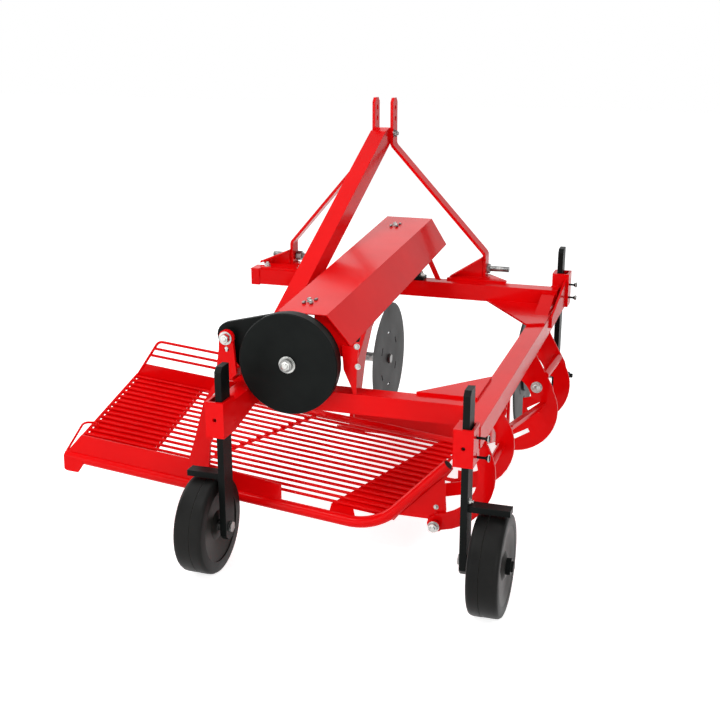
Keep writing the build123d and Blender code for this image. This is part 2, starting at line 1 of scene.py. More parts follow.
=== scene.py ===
import json
import math
import random
import bpy
import bmesh
from mathutils import Euler, Matrix, Vector


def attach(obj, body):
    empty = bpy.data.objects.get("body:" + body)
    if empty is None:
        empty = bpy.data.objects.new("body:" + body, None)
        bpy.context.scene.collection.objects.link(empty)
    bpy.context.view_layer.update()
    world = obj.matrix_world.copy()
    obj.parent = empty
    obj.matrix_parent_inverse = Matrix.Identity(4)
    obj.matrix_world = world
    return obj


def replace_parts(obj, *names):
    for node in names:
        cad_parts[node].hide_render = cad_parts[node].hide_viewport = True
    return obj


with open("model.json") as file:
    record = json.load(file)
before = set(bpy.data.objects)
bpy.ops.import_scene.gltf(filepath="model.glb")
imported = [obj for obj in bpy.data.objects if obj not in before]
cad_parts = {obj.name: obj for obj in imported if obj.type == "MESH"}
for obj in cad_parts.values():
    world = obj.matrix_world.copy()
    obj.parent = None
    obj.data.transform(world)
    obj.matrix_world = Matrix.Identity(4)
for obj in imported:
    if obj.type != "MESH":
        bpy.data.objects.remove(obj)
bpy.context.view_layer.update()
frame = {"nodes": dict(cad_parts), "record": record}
print("frame loaded")


# materials, all on Object coordinates in metres

def newMaterial(name):
    material = bpy.data.materials.new(name)
    material.use_nodes = True
    nodes = material.node_tree.nodes
    return material, nodes, material.node_tree.links, nodes["Principled BSDF"]


def objectNoise(nodes, links, scale, detail=3.0):
    coords = nodes.new("ShaderNodeTexCoord")
    noise = nodes.new("ShaderNodeTexNoise")
    noise.inputs["Scale"].default_value = scale
    noise.inputs["Detail"].default_value = detail
    links.new(coords.outputs["Object"], noise.inputs["Vector"])
    return noise.outputs["Fac"]


def spread(nodes, links, value, low, high, lowAt=0.3, highAt=0.7):
    ramp = nodes.new("ShaderNodeMapRange")
    ramp.inputs["From Min"].default_value = lowAt
    ramp.inputs["From Max"].default_value = highAt
    ramp.inputs["To Min"].default_value = low
    ramp.inputs["To Max"].default_value = high
    links.new(value, ramp.inputs["Value"])
    return ramp.outputs["Result"]


def twoColours(nodes, links, value, first, second, firstAt=0.35, secondAt=0.65):
    ramp = nodes.new("ShaderNodeValToRGB")
    ramp.color_ramp.elements[0].position = firstAt
    ramp.color_ramp.elements[0].color = (*first, 1)
    ramp.color_ramp.elements[1].position = secondAt
    ramp.color_ramp.elements[1].color = (*second, 1)
    links.new(value, ramp.inputs["Fac"])
    return ramp.outputs["Color"]


def blend(nodes, links, amount, first, second):
    mix = nodes.new("ShaderNodeMix")
    mix.data_type = "RGBA"
    links.new(amount, mix.inputs[0])
    links.new(first, mix.inputs[6])
    mix.inputs[7].default_value = (*second, 1)
    return mix.outputs[2]


def softEdges(nodes, links, shader, radius, height, strength, distance):
    bevel = nodes.new("ShaderNodeBevel")
    bevel.samples = 4
    bevel.inputs["Radius"].default_value = radius
    bump = nodes.new("ShaderNodeBump")
    bump.inputs["Strength"].default_value = strength
    bump.inputs["Distance"].default_value = distance
    links.new(bevel.outputs["Normal"], bump.inputs["Normal"])
    links.new(height, bump.inputs["Height"])
    links.new(bump.outputs["Normal"], shader.inputs["Normal"])


def wornEdges(nodes, links, radius, low, high):
    bevel = nodes.new("ShaderNodeBevel")  # edges show where the rounded normal leaves the flat one
    bevel.samples = 4
    bevel.inputs["Radius"].default_value = radius
    flat = nodes.new("ShaderNodeNewGeometry")
    turn = nodes.new("ShaderNodeVectorMath")
    turn.operation = "DOT_PRODUCT"
    links.new(bevel.outputs["Normal"], turn.inputs[0])
    links.new(flat.outputs["Normal"], turn.inputs[1])
    return spread(nodes, links, turn.outputs["Value"], 1.0, 0.0, low, high)


enamel = dict(light=(0.82, 0.002, 0.003), deep=(0.73, 0.001, 0.002), dust=(0.78, 0.007, 0.008),
              patchScale=4.0, peelScale=60.0, filmScale=9.0, dustMost=0.25, dustFrom=0.58, dustTo=0.80,
              shine=0.04, coat=0.08, coatRough=0.08, roughLow=0.17, roughHigh=0.24,
              rounding=0.0018, peel=0.03, peelDepth=0.0005)


def makeEnamel():
    material, nodes, links, shader = newMaterial("redEnamel")
    patches = objectNoise(nodes, links, enamel["patchScale"])
    peel = objectNoise(nodes, links, enamel["peelScale"], 1.0)
    film = objectNoise(nodes, links, enamel["filmScale"], 4.0)
    coat = twoColours(nodes, links, patches, enamel["deep"], enamel["light"])
    dusty = spread(nodes, links, film, 0.0, enamel["dustMost"], enamel["dustFrom"], enamel["dustTo"])
    shader.inputs["Specular IOR Level"].default_value = enamel["shine"]
    shader.inputs["Coat Weight"].default_value = enamel["coat"]
    shader.inputs["Coat Roughness"].default_value = enamel["coatRough"]
    links.new(blend(nodes, links, dusty, coat, enamel["dust"]), shader.inputs["Base Color"])
    links.new(spread(nodes, links, film, enamel["roughLow"], enamel["roughHigh"]), shader.inputs["Roughness"])
    softEdges(nodes, links, shader, enamel["rounding"], peel, enamel["peel"], enamel["peelDepth"])
    return material


black = dict(patchScale=9.0, rounding=0.0014, grainDepth=0.0006, wearWidth=0.0015, wearFrom=0.80, wearTo=0.97)


def makeBlack(name, low, high, roughLow, roughHigh, grain=700.0, bump=0.25, worn=None, shine=0.07):
    material, nodes, links, shader = newMaterial(name)
    shader.inputs["Specular IOR Level"].default_value = shine
    patches = objectNoise(nodes, links, black["patchScale"])
    grains = objectNoise(nodes, links, grain, 2.0)
    colour = twoColours(nodes, links, patches, low, high)
    if worn:
        edges = wornEdges(nodes, links, black["wearWidth"], black["wearFrom"], black["wearTo"])
        colour = blend(nodes, links, edges, colour, worn)
    links.new(colour, shader.inputs["Base Color"])
    links.new(spread(nodes, links, patches, roughLow, roughHigh), shader.inputs["Roughness"])
    softEdges(nodes, links, shader, black["rounding"], grains, bump, black["grainDepth"])
    return material


metal = dict(patchScale=60.0, rounding=0.0008, bump=0.05, bumpDepth=0.0004)


def makeMetal(name, low, high, roughLow, roughHigh):
    material, nodes, links, shader = newMaterial(name)
    shader.inputs["Metallic"].default_value = 1.0
    patches = objectNoise(nodes, links, metal["patchScale"], 4.0)
    links.new(twoColours(nodes, links, patches, low, high), shader.inputs["Base Color"])
    links.new(spread(nodes, links, patches, roughLow, roughHigh), shader.inputs["Roughness"])
    softEdges(nodes, links, shader, metal["rounding"], patches, metal["bump"], metal["bumpDepth"])
    return material


finishes = {
    "red_paint": makeEnamel(),
    "black_paint": makeBlack("blackPowderCoat", (0.003, 0.004, 0.0038), (0.006, 0.0075, 0.007), 0.36, 0.48,
                             worn=(0.03, 0.032, 0.03)),
    "disc_paint": makeBlack("discLacquer", (0.015, 0.016, 0.016), (0.028, 0.030, 0.030), 0.34, 0.46,
                            grain=300.0, bump=0.12),
    "zinc": makeMetal("zincPlate", (0.30, 0.31, 0.30), (0.55, 0.55, 0.53), 0.22, 0.38),
    "bright_steel": makeMetal("turnedSteel", (0.13, 0.13, 0.13), (0.30, 0.30, 0.29), 0.26, 0.40),
    "rubber": makeBlack("solidRubber", (0.004, 0.004, 0.0038), (0.009, 0.009, 0.0085), 0.36, 0.55,
                        grain=380.0, bump=0.30, worn=(0.045, 0.045, 0.04), shine=0.10),
    "black_rim": makeBlack("rimPaint", (0.010, 0.010, 0.009), (0.022, 0.020, 0.018), 0.30, 0.45,
                           grain=200.0, bump=0.15),
}
slotOf = {part["node"]: part["material_slot"] for part in frame["record"]["subparts"]}
for nodeName, node in frame["nodes"].items():
    node.data.materials.clear()
    node.data.materials.append(finishes[slotOf[nodeName]])
print("finishes on", len(frame["nodes"]), "nodes")


# pieces are laid out in the drawing's millimetres and built in metres

datum = Vector((-0.29649, 0.7205, 0.0))


def at(x, y, z):
    return Vector((x, y, z)) / 1000 - datum


def facing(direction, place):
    return Matrix.Translation(place) @ Vector(direction).to_track_quat("Z", "Y").to_matrix().to_4x4()


def newPiece(name, bm, finish, body, sharp=35):
    bmesh.ops.remove_doubles(bm, verts=bm.verts, dist=1e-6)
    bmesh.ops.recalc_face_normals(bm, faces=bm.faces)
    mesh = bpy.data.meshes.new(name)
    bm.to_mesh(mesh)
    bm.free()
    mesh.polygons.foreach_set("use_smooth", [True] * len(mesh.polygons))
    mesh.set_sharp_from_angle(angle=math.radians(sharp))
    mesh.materials.append(finishes[finish])
    piece = bpy.data.objects.new(name, mesh)
    bpy.context.scene.collection.objects.link(piece)
    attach(piece, body)
    return piece


def addRod(bm, start, end, radius, sides, endRadius=None):
    run = end - start
    return bmesh.ops.create_cone(bm, cap_ends=True, segments=sides, radius1=radius,
                                 radius2=radius if endRadius is None else endRadius, depth=run.length,
                                 matrix=facing(run, (start + end) / 2))["verts"]


def softenEnd(bm, verts, place, direction, width, segments=2):
    edges = {edge for vert in verts for edge in vert.link_edges}
    rim = [edge for edge in edges if all((v.co - place).dot(direction) > -1e-5 for v in edge.verts)]
    bmesh.ops.bevel(bm, geom=rim, offset=width, offset_type="OFFSET", segments=segments, profile=0.5,
                    affect="EDGES", material=-1)


# parts of the bolt's size, and how far each piece sinks into the one below it, in metres
bolt = dict(washerThick=0.18, headHigh=0.72, headWide=0.92, headBevel=0.09, shankWide=0.5, shankBevel=0.08,
            sink=0.0005)


def addBolt(bm, place, direction, size, stub, washer):
    way = Vector(direction).normalized()
    seat = place + way * size * bolt["washerThick"]
    addRod(bm, place - way * bolt["sink"], seat, size * washer, 28)
    top = seat + way * size * bolt["headHigh"]
    head = addRod(bm, seat, top, size * bolt["headWide"], 6)
    softenEnd(bm, head, top, way, size * bolt["headBevel"])
    end = top + way * stub
    shank = addRod(bm, top - way * bolt["sink"], end, size * bolt["shankWide"], 16)
    softenEnd(bm, shank, end, way, size * bolt["shankBevel"], 1)


def addBox(bm, low, high, rounding):
    size, middle = high - low, (low + high) / 2
    place = Matrix.Translation(middle) @ Matrix.Diagonal((*size, 1))
    verts = bmesh.ops.create_cube(bm, size=1.0, matrix=place)["verts"]
    edges = list({edge for vert in verts for edge in vert.link_edges})
    bmesh.ops.bevel(bm, geom=edges, offset=rounding, offset_type="OFFSET", segments=2, profile=0.5,
                    affect="EDGES", material=-1)


def only(kind, geom):
    return [g for g in geom if isinstance(g, kind)]


def addPlate(bm, corners, depth):
    face = bm.faces.new([bm.verts.new(corner) for corner in corners])
    grown = bmesh.ops.extrude_face_region(bm, geom=[face])["geom"]
    bmesh.ops.translate(bm, verts=only(bmesh.types.BMVert, grown), vec=depth)


def addTurned(bm, profile, middle, steps, axis=(1, 0, 0)):
    place = facing(axis, middle)  # profile gives distance along the axis and radius, in millimetres
    verts = [bm.verts.new(place @ Vector((r / 1000, 0, a / 1000))) for a, r in profile]
    edges = [bm.edges.new(pair) for pair in zip(verts, verts[1:] + verts[:1])]
    bmesh.ops.spin(bm, geom=verts + edges, cent=middle, axis=place.to_3x3() @ Vector((0, 0, 1)),
                   angle=math.tau, steps=steps, use_merge=True, dvec=(0, 0, 0), use_duplicate=False)


def pushOn(bm, edges, move):
    grown = bmesh.ops.extrude_edge_only(bm, edges=edges)["geom"]
    bmesh.ops.translate(bm, verts=only(bmesh.types.BMVert, grown), vec=move)
    return only(bmesh.types.BMEdge, grown)


drilled = 0.05  # depth of the hole in a tube's open end


def addBentBar(bm, corners, radius, bends, sides, wall=0.0, steps=10):
    ring = bmesh.ops.create_circle(bm, cap_ends=False, segments=sides, radius=radius,
                                   matrix=facing(corners[1] - corners[0], corners[0]))["verts"]
    edges = list({edge for vert in ring for edge in vert.link_edges})
    ends, here = [edges], corners[0]
    for before, corner, after, bend in zip(corners, corners[1:], corners[2:], bends):
        coming, going = (corner - before).normalized(), (after - corner).normalized()
        angle, axis = coming.angle(going), coming.cross(going).normalized()
        start = corner - coming * bend * math.tan(angle / 2)
        edges = pushOn(bm, edges, start - here)
        turned = bmesh.ops.spin(bm, geom=edges, cent=start + axis.cross(coming) * bend, axis=axis, angle=angle,
                                steps=steps, use_merge=False, dvec=(0, 0, 0), use_duplicate=False)["geom_last"]
        edges = only(bmesh.types.BMEdge, turned)
        here = corner + going * bend * math.tan(angle / 2)
    ends.append(pushOn(bm, edges, corners[-1] - here))
    for loop, inward in zip(ends, (corners[1] - corners[0], corners[-2] - corners[-1])):
        cap = bmesh.ops.contextual_create(bm, geom=loop)["faces"]
        if wall:  # an open end, drilled a short way in
            bmesh.ops.inset_individual(bm, faces=cap, thickness=wall, depth=0.0, use_even_offset=True)
            inner = bmesh.ops.extrude_discrete_faces(bm, faces=cap)["faces"]
            bmesh.ops.translate(bm, verts=inner[0].verts, vec=inward.normalized() * drilled)


bead = dict(step=0.85, stray=0.14, small=0.85, large=1.15)  # parts of the bead's size


def addWeld(bm, start, end, size, seed):
    dice = random.Random(seed)
    run = end - start
    count = max(2, int(run.length / (size * bead["step"])))
    for k in range(count + 1):
        stray = Vector([dice.uniform(-bead["stray"], bead["stray"]) * size for _ in range(3)])
        blob = start + run * k / count + stray
        grow = size * dice.uniform(bead["small"], bead["large"])
        bmesh.ops.create_icosphere(bm, subdivisions=1, radius=1.0,
                                   matrix=Matrix.Translation(blob) @ Matrix.Diagonal((grow, grow, grow, 1)))


# wheels: a smooth tread moulded in two halves with a joint line, and a dished plate on each side

wheel = dict(radius=150, half=45, rim=118, seam=-8, bore=11.2, hub=30, steps=112, middleY=-86.0, middleZ=150.0)
wheelSides = (("left", -462.0, -1), ("right", 414.0, 1))  # x of the middle, and which way faces out


def makeWheels():
    half, rim, seam, top = wheel["half"], wheel["rim"], wheel["seam"], wheel["radius"]
    bore, hub = wheel["bore"], wheel["hub"]
    for name, x, way in wheelSides:
        middle = at(x, wheel["middleY"], wheel["middleZ"])
        bm = bmesh.new()
        tread = [(-half, rim - 6), (-half, top - 9), (-half + 2, top - 4), (-half + 8, top - 0.6),
                 (-half + 14, top), (seam - 1.6, top), (seam - 0.5, top - 2.2), (seam + 0.5, top - 2.2),
                 (seam + 1.6, top - 0.6), (half - 14, top - 0.6), (half - 8, top - 1.4), (half - 2, top - 5),
                 (half, top - 10), (half, rim), (half - 2, rim - 6)]
        addTurned(bm, [(a * way, r) for a, r in tread], middle, steps=wheel["steps"])
        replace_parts(newPiece("tread_" + name, bm, "rubber", "wheel_" + name, sharp=40), "tyre_" + name)
        bm = bmesh.new()
        plate = [(-half + 6, rim), (-half + 3, rim - 5), (-half + 7, rim - 30), (-half + 12, hub + 16),
                 (-half + 6, hub), (-half + 6, bore), (half - 2, bore), (half - 2, hub), (half - 9, hub + 14),
                 (half - 7, rim - 34), (half - 1.5, rim - 8), (half - 1.5, rim)]
        addTurned(bm, [(a * way, r) for a, r in plate], middle, steps=wheel["steps"])
        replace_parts(newPiece("wheelPlate_" + name, bm, "black_rim", "wheel_" + name, sharp=25), "rim_" + name)


makeWheels()
print("wheels ready")


# drive: flywheel with its edges taken off, its washer and nut, and the turned shaft with crank and splined end

flywheel = dict(x=-245.0, z=636.0, rear=48.0, front=80.0, radius=156, bore=20.4, nut=0.017, nutStub=0.006,
                washer=0.026, washerThick=0.004)


def makeFlywheel():
    middle = at(flywheel["x"], flywheel["rear"], flywheel["z"])
    thick, edge, bore = flywheel["front"] - flywheel["rear"], flywheel["radius"], flywheel["bore"]
    bm = bmesh.new()
    addTurned(bm, [(0, bore), (0, edge - 3), (3, edge), (thick - 2, edge), (thick, edge - 2), (thick, bore)],
              middle, steps=128, axis=(0, 1, 0))
    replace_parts(newPiece("flywheelDisc", bm, "black_paint", "drive", sharp=40), "flywheel")
    bm = bmesh.new()
    rear = at(flywheel["x"], flywheel["rear"] - 0.2, flywheel["z"])
    seat = rear - Vector((0, flywheel["washerThick"], 0))
    addRod(bm, rear, seat, flywheel["washer"], 40)
    addBolt(bm, seat, (0, -1, 0), flywheel["nut"], flywheel["nutStub"], washer=1.3)
    newPiece("flywheelNut", bm, "zinc", "drive")


shaft = dict(x=-245.0, z=636.0, rear=30.0, step=1484.0, front=1562.0, radius=0.0196, crankUp=8.0, crankRear=80,
             crankFront=102, crank=0.034, splines=6, tip=0.0175, root=0.0148)


def makeShaft():
    x, z = shaft["x"], shaft["z"]
    bm = bmesh.new()
    addRod(bm, at(x, shaft["rear"], z), at(x, shaft["step"], z), shaft["radius"], 48)
    high = z + shaft["crankUp"]
    addRod(bm, at(x, shaft["crankRear"], high), at(x, shaft["crankFront"], high), shaft["crank"], 64)
    count = shaft["splines"] * 4
    turns = [(k * math.tau / count, shaft["tip"] if k % 4 < 2 else shaft["root"]) for k in range(count)]
    start = at(x, shaft["step"] - 1, z)
    addPlate(bm, [start + Vector((r * math.cos(a), 0, r * math.sin(a))) for a, r in turns],
             at(x, shaft["front"], z) - start)
    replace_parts(newPiece("driveShaftTurned", bm, "bright_steel", "drive"), "drive_shaft")


makeFlywheel()
makeShaft()
print("drive ready")


# sieve: round bars on slanting cross bars, in a bent tube frame, all on one sloping plane; sizes from 0.001 to
# 0.2 are in metres, fall, rise and spread are slopes, and the rest is in millimetres

sieve = dict(zero=129.0, fall=-0.10, rise=0.24, nearY=90.0, farY=590.0, left=-1050.0)
bars = dict(radius=5.0, above=5.5, first=155.0, pitch=26.4, count=17, left=-1044.0, right=62.0, spread=0.28,
            farRight=176.0, endBevel=0.0015, carrier=0.0052, below=-5, edge=0.0058, edgeX=-1046, edgeOver=12,
            bead=0.0032, beadHalf=4, beadAbove=1.5)
# x at the near and at the far end, and y of the near end
crossBars = ((-1037, -1037, 110), (-789, -789, 110), (-666, -353, 150), (-134, 108, 150), (56, 174, 150))
# the black disc at the tube's open end, whose radius is given here, is painted shade for the hollow inside
tube = dict(radius=18.0, wall=0.003, bend=0.190, corner=(17.5, 127.2), mouth=(242.0, 360.0), mouthShadeRadius=0.0152,
            farRadius=0.013, farLeft=-610, farRight=150)
# x and z of the lug's corners, and the bent hook of round bar above it
lug = ((-1050, 240), (-1051, 192), (-1042, 186), (-1001, 184), (-980, 214), (-980, 226))
hook = dict(corners=((-1047, 92, 250), (-1060, 225, 299), (-1018, 243, 296), (-1018, 243, 268)), radius=0.004,
            bends=(0.022, 0.010))
# height of each rail above the sieve, and how far it starts from the left end
fence = dict(rails=((148.0, 96.0), (118.0, 78.0), (90.0, 60.0)), right=-622.0, foot=40, radius=5.0,
             bends=(0.030, 0.012))


def onSieve(x, y, above=0.0):
    return at(x, y, sieve["zero"] + sieve["fall"] * x + sieve["rise"] * (y - sieve["nearY"]) + above)


def makeBars():
    bm, beads = bmesh.new(), bmesh.new()
    above, below = bars["above"], bars["below"]
    rows = [bars["first"] + k * bars["pitch"] for k in range(bars["count"])]
    for y in rows:
        right = bars["right"] + bars["spread"] * (y - bars["first"])
        start, end = onSieve(bars["left"], y, above), onSieve(min(right, bars["farRight"]), y, above)
        bar = addRod(bm, start, end, bars["radius"] / 1000, 14)
        softenEnd(bm, bar, end, (end - start).normalized(), bars["endBevel"], 1)
    for a, b, start in crossBars:
        near, far = onSieve(a, start, below), onSieve(b, sieve["farY"] - 8, below)
        addRod(bm, near, far, bars["carrier"], 12)
        for k, y in enumerate(rows):
            x = a + (b - a) * (y - start) / (sieve["farY"] - 4 - start)
            left, right = x - bars["beadHalf"], x + bars["beadHalf"]
            addWeld(beads, onSieve(left, y - 3, bars["beadAbove"]), onSieve(right, y - 3, bars["beadAbove"]),
                    bars["bead"], k)
    near, far = rows[0] - bars["edgeOver"], rows[-1] + bars["edgeOver"]
    addRod(bm, onSieve(bars["edgeX"], near, above), onSieve(bars["edgeX"], far, above), bars["edge"], 12)
    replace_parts(newPiece("sieveBars", bm, "red_paint", "sieve"), "sieve_bars")
    newPiece("sieveWelds", beads, "red_paint", "sieve", sharp=180)


def makeSieveFrame():
    nearY, farY, left, right = sieve["nearY"], sieve["farY"], sieve["left"], fence["right"]
    (cornerX, cornerZ), (mouthX, mouthZ) = tube["corner"], tube["mouth"]
    corner, mouth = at(cornerX, nearY, cornerZ), at(mouthX, nearY, mouthZ)
    bm = bmesh.new()
    addBentBar(bm, [onSieve(left, nearY), corner, mouth], tube["radius"] / 1000, [tube["bend"]],
               sides=28, wall=tube["wall"], steps=16)
    addPlate(bm, [at(x, nearY - 18, z) for x, z in lug], Vector((0, 0.008, 0)))
    addBentBar(bm, [at(*place) for place in hook["corners"]], hook["radius"], hook["bends"], sides=12)
    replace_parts(newPiece("sieveFrame", bm, "red_paint", "sieve"), "sieve_frame")
    bm = bmesh.new()  # painted shade: a black disc set just inside the tube's open end stands in for the shade within it
    back = (corner - mouth).normalized()
    addRod(bm, mouth + back * 0.004, mouth - back * 0.0006, tube["mouthShadeRadius"], 28)
    newPiece("tubeMouthShade", bm, "black_paint", "sieve")
    bm = bmesh.new()
    addRod(bm, onSieve(tube["farLeft"], farY), onSieve(tube["farRight"], farY), tube["farRadius"], 24)
    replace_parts(newPiece("sieveFarTube", bm, "red_paint", "sieve"), "sieve_front_tube")
    bm = bmesh.new()
    radius = fence["radius"] / 1000
    top, cut = fence["rails"][0]
    addBentBar(bm, [onSieve(left + 4, farY, 4), onSieve(left + cut, farY, top), onSieve(right, farY, top),
                    onSieve(right, farY, fence["foot"])], radius, fence["bends"], sides=14)
    for up, cut in fence["rails"][1:]:
        addRod(bm, onSieve(left + cut - 2, farY, up), onSieve(right, farY, up), radius, 14)
    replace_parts(newPiece("sieveFence", bm, "red_paint", "sieve"), "sieve_fence")


makeBars()
makeSieveFrame()
print("sieve ready")


# fasteners on each body: place in millimetres, way the head points, size and stub in metres, and the washer in
# parts of the size

frameBolts = {
    "mastBolts": ("bright_steel", ((-330, 1464, 1163), (1, 0, 0), 0.014, 0.006, 1.1)),
    "basePlateBolts": ("zinc", ((-696, 1372, 611), (0, 0, 1), 0.014, 0.010, 1.3),
                       ((-846, 1372, 611), (0, 0, 1), 0.012, 0.006, 1.2)),
    "bearingBolts": ("zinc", ((-297, 148, 554), (0, 0, 1), 0.011, 0.008, 1.2),
                     ((-193, 148, 554), (0, 0, 1), 0.011, 0.008, 1.2),
                     ((-306, 1370, 617), (0, 0, 1), 0.012, 0.008, 1.2),
                     ((-184, 1370, 617), (0, 0, 1), 0.012, 0.008, 1.2),
                     ((-50, 116, 690), (0, -1, 0), 0.007, 0.004, 1.3),
                     ((-47, 116, 628), (0, -1, 0), 0.007, 0.004, 1.3)),
    "ribBolts": ("zinc", ((369, 890, 358), (0, -1, 0), 0.018, 0.010, 1.15),),
    "hangerPivotBolts": ("zinc", ((331, 68, 447), (0, -1, 0), 0.013, 0.004, 1.2),),
    "legBolts": ("zinc", ((346, -96, 338), (1, 0, 0), 0.008, 0.006, 1.2),),
}


def makeBolts(groups, body):
    for name, (finish, *bolts) in groups.items():
        bm = bmesh.new()
        for place, way, size, stub, washer in bolts:
            addBolt(bm, at(*place), way, size, stub, washer)
        newPiece(name, bm, finish, body)


rockerBolts = {
    "rodPinBolt": ("zinc", ((-444, 51, 699), (0, -1, 0), 0.0155, 0.004, 1.35)),
    "rockerPivotBolt": ("zinc", ((-474, 47.5, 509), (0, -1, 0), 0.014, 0.003, 1.2)),
    "rockerFootBolt": ("zinc", ((-560, 47.5, 222), (0, -1, 0), 0.011, 0.003, 1.2)),
}
sieveBolts = {
    "hangerEyeBolts": ("zinc", ((208, 58, 170), (0, -1, 0), 0.016, 0.002, 1.1)),
    "gussetBolts": ("zinc", ((207, 90, 220), (0, -1, 0), 0.006, 0.003, 1.3)),
}
makeBolts(frameBolts, "frame")
makeBolts(rockerBolts, "rocker")
makeBolts(sieveBolts, "sieve")


# bolts on the guard's sloping top, each between four small cleats: x and y of each bolt, y and z of the top at
# its rear and front end, the cleats' distance from the bolt and half their size

guardBolt = dict(places=((-237, 228), (-268, 1280)), rear=(110.0, 780.0), front=(1430.0, 837.0), size=0.0085,
                 stub=0.006, cleatX=0.012, cleatY=0.022, cleat=(0.004, 0.008), cleatHigh=0.006, cleatSink=0.001)


def makeGuardBolts():
    bm, feet = bmesh.new(), bmesh.new()
    (rearY, rearZ), (frontY, frontZ) = guardBolt["rear"], guardBolt["front"]
    halfX, halfY = guardBolt["cleat"]
    for x, y in guardBolt["places"]:
        place = at(x, y, rearZ + (frontZ - rearZ) * (y - rearY) / (frontY - rearY))
        addBolt(bm, place, (0, 0, 1), guardBolt["size"], guardBolt["stub"], washer=1.3)
        for sideX, sideY in ((-1, -1), (1, -1), (-1, 1), (1, 1)):
            corner = place + Vector((sideX * guardBolt["cleatX"], sideY * guardBolt["cleatY"], 0.0005))
            addBox(feet, corner - Vector((halfX, halfY, guardBolt["cleatSink"])),
                   corner + Vector((halfX, halfY, guardBolt["cleatHigh"])), 0.001)
    newPiece("guardBolts", bm, "zinc", "frame")
    newPiece("guardCleats", feet, "bright_steel", "frame")


makeGuardBolts()


# two plugs below the rocker's upper bolt (z, y of the face, radius and sides) and the nuts at the ends of axles

keyhole = dict(x=-444, back=57, plugs=((666, 55.2, 0.0055, 20), (659, 55.0, 0.0035, 16)))
coulterNut = dict(place=(381, 1442, 235), shank=0.030, shankRadius=0.010, seat=0.018, size=0.017, stub=0.012)
hubNut = dict(out=57, boss=0.030, bossRadius=0.024, thick=0.007, size=0.018, bevel=0.0015)


def makeKeyhole():
    bm = bmesh.new()
    for z, face, radius, sides in keyhole["plugs"]:
        addRod(bm, at(keyhole["x"], keyhole["back"], z), at(keyhole["x"], face, z), radius, sides)
    newPiece("rockerKeyhole", bm, "zinc", "rocker")


def makeAxleNuts():
    bm = bmesh.new()
    root = at(*coulterNut["place"])
    addRod(bm, root, root + Vector((coulterNut["shank"], 0, 0)), coulterNut["shankRadius"], 20)
    seat = root + Vector((coulterNut["seat"], 0, 0))
    addBolt(bm, seat, (1, 0, 0), coulterNut["size"], coulterNut["stub"], washer=1.1)
    newPiece("coulterNut_right", bm, "black_paint", "frame")
    bm = bmesh.new()
    for _, x, way in reversed(wheelSides):
        out = Vector((way, 0, 0))
        middle = at(x + way * hubNut["out"], wheel["middleY"], wheel["middleZ"])
        face = middle + out * hubNut["thick"]
        addRod(bm, middle - out * hubNut["boss"], middle, hubNut["bossRadius"], 24)
        softenEnd(bm, addRod(bm, middle, face, hubNut["size"], 6), face, out, hubNut["bevel"])
    newPiece("hubNuts", bm, "black_paint", "frame")


makeKeyhole()
makeAxleNuts()
print("fasteners ready")


# plates beside the guard, under the frame and on the share: y of each plate and the x and z of its corners

guardLegPlates = ((116, ((-98, 688), (-66, 690), (-57, 701), (-44, 703), (-50, 640), (-53, 560), (-52, 541),
                         (-63, 541), (-67, 559), (-92, 614))),
                  (116, ((-322, 541), (-294, 541), (-283, 700), (-299, 700))),
                  (1340, ((-98, 611), (-118, 611), (-179, 738), (-159, 738))),
                  (1340, ((-364, 611), (-332, 611), (-338, 738), (-352, 738))))
# x and thickness of each arm, and the y and z of its corners
armPlates = ((-330, 15, ((1338, 548), (1133, 458), (1049, 365), (999, 249), (975, 100), (885, 130), (905, 260),
                         (962, 388), (1108, 506), (1338, 608))),
             (208, 12, ((760, 172), (1190, 32), (1200, 44), (1150, 110), (960, 215), (860, 225), (770, 205))))
shareBack = (693, ((-246, 203), (208, 203), (208, 270), (-246, 260)))
guardEnd = (125, ((-186, 772), (-147, 772), (-77, 693), (-80, 652), (-120, 652), (-186, 742)))
bracketFoot = (1436, ((-903, 611), (-850, 611), (-850, 634), (-903, 617)))
plateThickness = dict(leg=0.008, share=0.007, guard=0.004, bracket=0.006)


def addUprightPlate(bm, outline, thickness):
    y, corners = outline
    addPlate(bm, [at(x, y, z) for x, z in corners], Vector((0, thickness, 0)))


def makePlates():
    bm = bmesh.new()
    for outline in guardLegPlates:
        addUprightPlate(bm, outline, plateThickness["leg"])
    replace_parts(newPiece("guardLegPlates", bm, "red_paint", "frame"), "guard_legs")
    bm = bmesh.new()
    for x, thick, corners in armPlates:
        addPlate(bm, [at(x, y, z) for y, z in corners], Vector((thick / 1000, 0, 0)))
    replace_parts(newPiece("shareArmPlates", bm, "red_paint", "frame"), "share_arms")
    bm = bmesh.new()
    addUprightPlate(bm, shareBack, plateThickness["share"])
    newPiece("shareBackPlate", bm, "red_paint", "frame")
    bm = bmesh.new()
    addUprightPlate(bm, guardEnd, plateThickness["guard"])
    addUprightPlate(bm, bracketFoot, plateThickness["bracket"])
    newPiece("guardEndPlate", bm, "red_paint", "frame")


makePlates()
print("plates ready")


# set bolts in the leg clamps: place of the clamp's face, way out, length and half of the cross bar, all in
# millimetres

clampBolts = (((360, -85, 524), 1, 27, 9.6), ((360, -75, 463), 1, 27, 9.6), ((396, 1422, 611), 1, 20, 12),
              ((396, 1422, 560), 1, 20, 12), ((-437, -85, 528), -1, 6, 7.2), ((-437, -85, 474), -1, 6, 7.2),
              ((-507, 1441, 548), -1, 20, 12), ((-507, 1441, 624), -1, 20, 12))
# radii in metres, and places along the bolt from its tip in millimetres
clampBolt = dict(root=8, shank=0.0038, collar=0.0062, collarEnd=0.0090, collarTo=5, ring=0.0108, ringTo=7.5,
                 nut=0.0085, nutFrom=7.4, nutTo=9.5, bar=0.0035, barAt=2)


